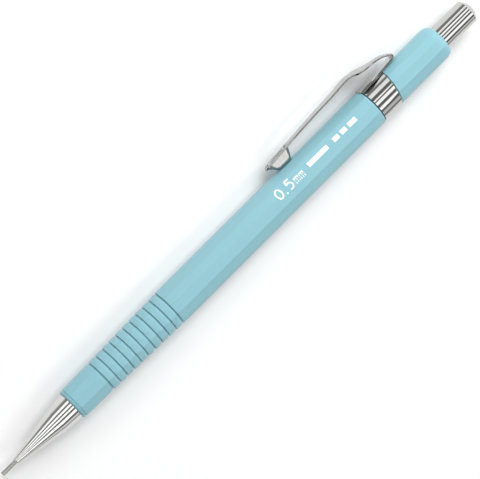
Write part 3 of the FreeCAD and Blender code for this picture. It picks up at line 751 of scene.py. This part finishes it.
def band():
    """Band round the barrel: square front edge, leaning rear edge, both edges rounded."""
    radius = BAND_RADIUS - SKIN_GAP
    inner = SEAT_RADIUS + SKIN_GAP
    front = BAND_FRONT + BAND_GAP
    rear = BAND_REAR - BAND_GAP
    round_off = 0.09
    rings = [round_ring(front + share * round_off, radius - drop * round_off)
             for share, drop in ((0, 1), (0.13, 0.5), (0.5, 0.13), (1, 0))]
    rings.append(round_ring(front + 2.8, radius))
    rings.extend(round_ring(rear - share * round_off, radius - drop * round_off, BAND_LEAN)
                 for share, drop in ((1, 0), (0.5, 0.13), (0.13, 0.5), (0, 1)))
    rings.append(round_ring(rear, inner, BAND_LEAN))
    rings.append(round_ring(front, inner))
    return skin(rings, loop=True)


make_piece("clip_band_piece", *merged([band(), base_strip()]), "body", "clip_steel", CLIP, ["clip_band"])
# The arm takes the darker copy of the clip steel: its darker colour is painted shade.
make_piece("clip_arm_piece", *merged([arm_strip(), foot()]), "clip", "clip_steel", SHADED_ARM_STEEL, ["clip_arm"])


# ---- writing end ----

CONE = [(4.0 + SKIN_GAP, 0.66, 0), (4.0 + SKIN_GAP, 0.776, 0.09), (15.99, 2.992, 2.0),
        (20.55, 3.294, 0.06), (20.55, 2.7, 0.05), (20.9, 2.55, 0.05), (27.3, 2.69, 0.25), (27.3, 2.25, 0.05),
        (17.45, 2.25, 0), (17.45, 1.95, 0), (14.2, 1.95, 0), (14.2, 0.9, 0), (11.4, 0.9, 0), (11.4, 1.0, 0),
        (9.0, 1.0, 0), (9.0, 0.66, 0)]


def cone_outline():
    """Outline of the cone, with shallow thread ridges on its spigot."""
    corners = CONE[:6]
    pitch = 0.5
    station = 21.6
    while station < 26.2:
        corners.append((station, 2.55, 0.03))
        corners.append((station + pitch / 2, 2.69, 0.03))
        station += pitch
    return rounded(corners + CONE[6:], closed=True, steps=6)


SLEEVE = [(SKIN_GAP, 0.3, 0.03), (SKIN_GAP, 0.496, 0.06), (3.9, 0.496, 0.02), (3.9, 0.656, 0.03),
          (9.0, 0.656, 0), (9.0, 0.3, 0)]
make_piece("tip_cone_piece", *turned(cone_outline()), "front", "cone_chrome", TURNED, ["tip_cone"])
make_piece("guide_sleeve_piece", *turned(rounded(SLEEVE, closed=True), 64), "front", "sleeve_steel", STEEL,
           ["guide_sleeve"])


# ---- push button and eraser ----

CAP_TOP = 142.53
CAP_TOP_RADIUS = 1.84


def cap_outline():
    """Hollow button: chamfered edge, shallow domed top, open towards the barrel."""
    dome = LENGTH - CAP_TOP
    sphere = (CAP_TOP_RADIUS ** 2 + dome ** 2) / (2 * dome)
    corners = [(141.0, 0, 0), (141.0, 2.496, 0.3), (127.0, 2.504, 0.05), (127.0, 2.896, 0.12),
               (141.66, 2.896, 0.12), (CAP_TOP, CAP_TOP_RADIUS, 0.1)]
    steps = 12
    for step in range(1, steps):
        radius = CAP_TOP_RADIUS * (1 - step / steps)
        station = LENGTH - SKIN_GAP - sphere + math.sqrt(sphere ** 2 - radius ** 2)
        corners.append((station, radius, 0))
    corners.append((LENGTH - SKIN_GAP, 0, 0))
    return rounded(corners)


ERASER_OUTLINE = [(134.8, 0, 0), (134.8, 0.2, 0), (132.2, 0.2, 0), (132.2, 1.716, 0), (140.396, 1.716, 0.35),
                  (140.396, 0, 0)]
HOLDER_OUTLINE = [(130.6, 1.724, 0), (130.6, 1.996, 0.1), (134.05, 1.996, 0.03), (134.05, 2.416, 0.08),
                  (134.6, 2.416, 0.08), (134.6, 1.996, 0.03), (136.4, 1.996, 0.08), (136.4, 1.724, 0.08),
                  (132.2, 1.724, 0), (132.2, 0.2, 0), (131.6, 0.2, 0), (131.6, 1.724, 0)]
make_piece("push_cap_piece", *turned(cap_outline(), closed=False), "cap", "cap_chrome", CHROME, ["push_cap"])
make_piece("eraser_piece", *turned(rounded(ERASER_OUTLINE), 96, closed=False), "eraser_unit", "eraser_rubber",
           ERASER, ["eraser"])
make_piece("eraser_holder_piece", *turned(rounded(HOLDER_OUTLINE, closed=True, steps=3), 96), "eraser_unit",
           "holder_metal", HOLDER, ["eraser_holder"])


# ---- return spring ----

SPRING_SPAN = (21.17, 32.83)    # wire centre at both ends
SPRING_RADIUS = 1.65
SPRING_WIRE = 0.146
SPRING_TURNS = 8


def coil():
    """Round wire wound round the axis, its ends cut square."""
    steps_per_turn = 40
    wire_points = 12
    steps = SPRING_TURNS * steps_per_turn
    rings = []
    for step in range(steps + 1):
        turn = 2 * math.pi * step / steps_per_turn
        station = SPRING_SPAN[0] + (SPRING_SPAN[1] - SPRING_SPAN[0]) * step / steps
        ring = []
        for index in range(wire_points):
            around = 2 * math.pi * index / wire_points
            radius = SPRING_RADIUS + SPRING_WIRE * math.cos(around)
            ring.append(point(station + SPRING_WIRE * math.sin(around),
                              radius * math.cos(turn), radius * math.sin(turn)))
        rings.append(ring)
    return skin(rings, caps=(True, True))


spring = make_piece("return_spring_piece", *coil(), "body", "spring_steel", SPRING, ["return_spring"])
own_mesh(spring)


# ---- pieces that keep their CAD mesh ----

KEPT = {"lead_retainer": RETAINER, "threaded_insert": BRASS, "chuck_housing": BRASS, "clutch_ring": BRASS,
        "chuck_stem": BRASS, "chuck_jaw_1": BRASS, "chuck_jaw_2": BRASS, "chuck_jaw_3": BRASS,
        "tube_connector": TUBE, "lead_tube": TUBE, "cleaning_pin": PIN,
        "working_lead": GRAPHITE, "spare_lead_1": GRAPHITE, "spare_lead_2": GRAPHITE,
        "spare_lead_3": GRAPHITE}
for node, finish in KEPT.items():
    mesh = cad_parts[node].data
    mesh.materials.clear()
    mesh.materials.append(finish)


# ---- printed marking ----

PRINT_HEIGHT = 0.012            # thickness of the ink
PRINT_BASE = 0.006              # the ink starts this far inside the surface
PRINT_STEPS = 6                 # spans across an ink line
PRINT_TURN = math.radians(67.6)  # round the barrel from the clip towards the top


def printed(spots, turn_centre):
    """Flat shape (station, across) wrapped on the barrel; across is measured round the barrel."""
    flat = flat_distance(BARREL_RADIUS, PLAIN_SOFTNESS)
    outer = []
    for station, sideways in spots:
        angle = turn_centre - sideways / flat
        radius = surface_radius(angle)
        outer.append((station, radius, angle))
    top = [point(station, (radius + PRINT_HEIGHT - PRINT_BASE) * math.cos(angle),
                 (radius + PRINT_HEIGHT - PRINT_BASE) * math.sin(angle)) for station, radius, angle in outer]
    low = [point(station, (radius - PRINT_BASE) * math.cos(angle), (radius - PRINT_BASE) * math.sin(angle))
           for station, radius, angle in outer]
    return top, low


def surface_radius(angle):
    """Distance from the axis to the barrel's surface in a direction."""
    flat = flat_distance(BARREL_RADIUS, PLAIN_SOFTNESS) - SKIN_GAP
    offset = (angle + FACET / 2) % FACET - FACET / 2
    half_flat = (flat - PLAIN_SOFTNESS) * math.tan(FACET / 2)
    if abs(offset) <= math.atan2(half_flat, flat):
        return flat / math.cos(offset)
    centre = BARREL_RADIUS - SKIN_GAP - PLAIN_SOFTNESS
    from_corner = FACET / 2 - abs(offset)
    across = centre * math.sin(from_corner)
    return centre * math.cos(from_corner) + math.sqrt(PLAIN_SOFTNESS ** 2 - across ** 2)


def stroke(spots, width, turn_centre, closed=False):
    """Ink line of a width along (station, across) points, as a thin closed slab."""
    loops = [Vector(spot) for spot in spots]
    count = len(loops)
    rows = []
    for index, here in enumerate(loops):
        before = loops[index - 1] if closed or index else here
        after = loops[(index + 1) % count] if closed or index < count - 1 else here
        run = (after - before).normalized()
        normal = Vector((-run.y, run.x)) * width / 2
        across = [tuple(here + normal * (1 - 2 * step / PRINT_STEPS)) for step in range(PRINT_STEPS + 1)]
        top, low = printed(across, turn_centre)
        rows.append(top + low[::-1])
    return skin(rows, loop=closed, caps=(not closed, not closed))


def ellipse(centre, radii, start=0.0, sweep=2 * math.pi, steps=28):
    """Points on part of an ellipse."""
    return [(centre[0] + radii[0] * math.cos(start + sweep * step / steps),
             centre[1] + radii[1] * math.sin(start + sweep * step / steps)) for step in range(steps)]


def straight(first, second, steps=6):
    """Points on a straight line."""
    return [(first[0] + (second[0] - first[0]) * step / steps,
             first[1] + (second[1] - first[1]) * step / steps) for step in range(steps + 1)]


def marking():
    """Lead size in plain figures, then plain blocks where a maker would print its own marks."""
    turn = PRINT_TURN
    ink = 0.34
    top = 1.12
    parts = [stroke(ellipse((83.35, 0), (0.72, top)), ink, turn, True)]
    parts.append(stroke(straight((84.68, -top), (85.06, -top), 2), ink, turn))
    five = straight((87.05, top), (86.0, top), 3) + straight((85.92, top - 0.12), (85.82, 0.26), 3)
    bowl = ellipse((86.32, -0.36), (0.76, 0.76), math.radians(125), -math.radians(255), 20)
    parts.append(stroke(five + bowl, ink, turn))
    for start in (87.85, 89.35):
        for leg in (0.0, 0.52, 1.04):
            parts.append(stroke(straight((start + leg, -top), (start + leg, 0.1), 4), 0.22, turn))
        parts.append(stroke(straight((start - 0.11, 0.2), (start + 1.15, 0.2), 4), 0.24, turn))
    block = 1.1
    for start, end in ((92.2, 98.1), (99.9, 101.5), (102.2, 103.8), (104.5, 106.8)):
        parts.append(stroke(straight((start, 0.0), (end, 0.0), 8), block, turn))
    return merged(parts)


make_piece("printed_marking", *marking(), "body", "barrel_plastic", PRINT)


# ---- floor, light and camera ----

def floor():
    """Large plain sheet the pencil lies on."""
    half = 1.5
    verts = [(-half, -half, 0), (half, -half, 0), (half, half, 0), (-half, half, 0)]
    mesh = bpy.data.meshes.new("floor")
    mesh.from_pydata(verts, [], [(0, 1, 2, 3)])
    sheet = bpy.data.objects.new("floor", mesh)
    bpy.context.scene.collection.objects.link(sheet)
    finish = Finish("floor_paper", (0.86, 0.86, 0.86), 0.0, 0.7, Specular_IOR_Level=0.1)
    finish.colour(finish.noise(0.3, 2.0), (0.855, 0.855, 0.855), (0.865, 0.865, 0.865))
    mesh.materials.append(finish.material)


# long soft panels over the pencil: degrees from the clip's side over the top, width, and share of full tone
PANELS = [(36, 15, 0.75), (66, 10, 1.0), (92, 9, 0.95), (124, 16, 1.0), (161, 14, 0.45)]
PANEL_STRENGTH = 1.9
PANEL_EDGE = 0.018
GAP_TONE = 0.1
GREY = 0.24
DIM_START = 0.5                 # the room grows dark beyond this share towards the tip
DIM_END = 0.75
DIM_TONE = 0.08


HALF_TURN = 180                 # degrees


def sky():
    """Grey studio with long white panels round the pencil and narrow dark gaps between them."""
    world = bpy.data.worlds.new("studio")
    bpy.context.scene.world = world
    world.use_nodes = True
    nodes = world.node_tree.nodes
    links = world.node_tree.links
    places = nodes.new("ShaderNodeTexCoord")
    split = nodes.new("ShaderNodeSeparateXYZ")
    links.new(places.outputs["Generated"], split.inputs["Vector"])
    back = nodes.new("ShaderNodeMath")
    back.operation = "MULTIPLY"
    back.inputs[1].default_value = -1
    links.new(split.outputs["Y"], back.inputs[0])
    turn = nodes.new("ShaderNodeMath")
    turn.operation = "ARCTAN2"
    links.new(split.outputs["Z"], turn.inputs[0])
    links.new(back.outputs["Value"], turn.inputs[1])
    share = nodes.new("ShaderNodeMath")
    share.operation = "DIVIDE"
    share.inputs[1].default_value = math.pi
    links.new(turn.outputs["Value"], share.inputs[0])
    ramp = nodes.new("ShaderNodeValToRGB")
    links.new(share.outputs["Value"], ramp.inputs["Fac"])
    tones = [(0.0, GREY)]
    for centre, width, tone in PANELS:
        start = (centre - width / 2) / HALF_TURN
        end = (centre + width / 2) / HALF_TURN
        tones.extend([(start - PANEL_EDGE, GAP_TONE), (start, tone), (end, tone), (end + PANEL_EDGE, GAP_TONE)])
    tones.append((1.0, GREY))
    elements = ramp.color_ramp.elements
    while len(elements) < len(tones):
        elements.new(0.5)
    for element, (place, tone) in zip(elements, tones):
        element.position = place
    for element, (place, tone) in zip(elements, tones):
        element.color = (tone, tone, tone, 1)
    dim = nodes.new("ShaderNodeMapRange")
    dim.inputs["From Min"].default_value = DIM_START
    dim.inputs["From Max"].default_value = DIM_END
    dim.inputs["To Min"].default_value = 1.0
    dim.inputs["To Max"].default_value = DIM_TONE
    links.new(split.outputs["X"], dim.inputs["Value"])
    scaled = nodes.new("ShaderNodeVectorMath")
    scaled.operation = "SCALE"
    links.new(ramp.outputs["Color"], scaled.inputs["Vector"])
    links.new(dim.outputs["Result"], scaled.inputs["Scale"])
    links.new(scaled.outputs["Vector"], nodes["Background"].inputs["Color"])
    nodes["Background"].inputs["Strength"].default_value = PANEL_STRENGTH


KEY_SIZE = (0.3, 0.25)          # metres
KEY_WATTS = 1.0
KEY_PLACE = (-0.22, -0.13, 0.28)


def key_light():
    """Broad soft lamp above and behind the clip, for the faint shadow beside the pencil."""
    lamp = bpy.data.lights.new("key", "AREA")
    lamp.shape = "RECTANGLE"
    lamp.size, lamp.size_y = KEY_SIZE
    lamp.energy = KEY_WATTS
    lit = bpy.data.objects.new("key", lamp)
    bpy.context.scene.collection.objects.link(lit)
    lit.location = KEY_PLACE
    lit.visible_glossy = False
    lit.visible_camera = False
    lit.rotation_euler = (-lit.location).to_track_quat("-Z", "Y").to_euler()


CAMERA_TILT = 8.0               # degrees
CAMERA_RISE = 76.0
CAMERA_ROLL = 44.922
CAMERA_AIM = (0.347, 0.287, 4.353)
CAMERA_DISTANCE = 0.680         # metres
CAMERA_LENS = 238.36            # millimetres, as is the sensor
SENSOR_WIDTH = 36.0
NEAREST_SEEN = 0.05


def camera():
    """Camera nearly overhead, turned so that the pencil lies along the picture's diagonal."""
    tilt = math.radians(CAMERA_TILT)
    rise = math.radians(CAMERA_RISE)
    roll = math.radians(CAMERA_ROLL)
    towards = Vector((math.sin(tilt), -math.cos(tilt) * math.cos(rise), math.cos(tilt) * math.sin(rise)))
    level = Vector((-1, 0, 0))
    level = (level - towards * level.dot(towards)).normalized()
    upright = towards.cross(level)
    right = level * math.cos(roll) - upright * math.sin(roll)
    up = level * math.sin(roll) + upright * math.cos(roll)
    data = bpy.data.cameras.new("camera")
    data.sensor_width = SENSOR_WIDTH
    data.lens = CAMERA_LENS
    data.clip_start = NEAREST_SEEN
    eye = bpy.data.objects.new("camera", data)
    bpy.context.scene.collection.objects.link(eye)
    aim = Vector(CAMERA_AIM) * MM
    eye.matrix_world = matrix_from(right, up, towards, aim + towards * CAMERA_DISTANCE)
    bpy.context.scene.camera = eye


def matrix_from(right, up, back, place):
    """Pose matrix from three unit vectors and a place."""
    rows = [(right[axis], up[axis], back[axis], place[axis]) for axis in range(3)]
    return Matrix(rows + [(0, 0, 0, 1)])


floor()
sky()
key_light()
camera()
bpy.context.scene.view_settings.view_transform = "Standard"
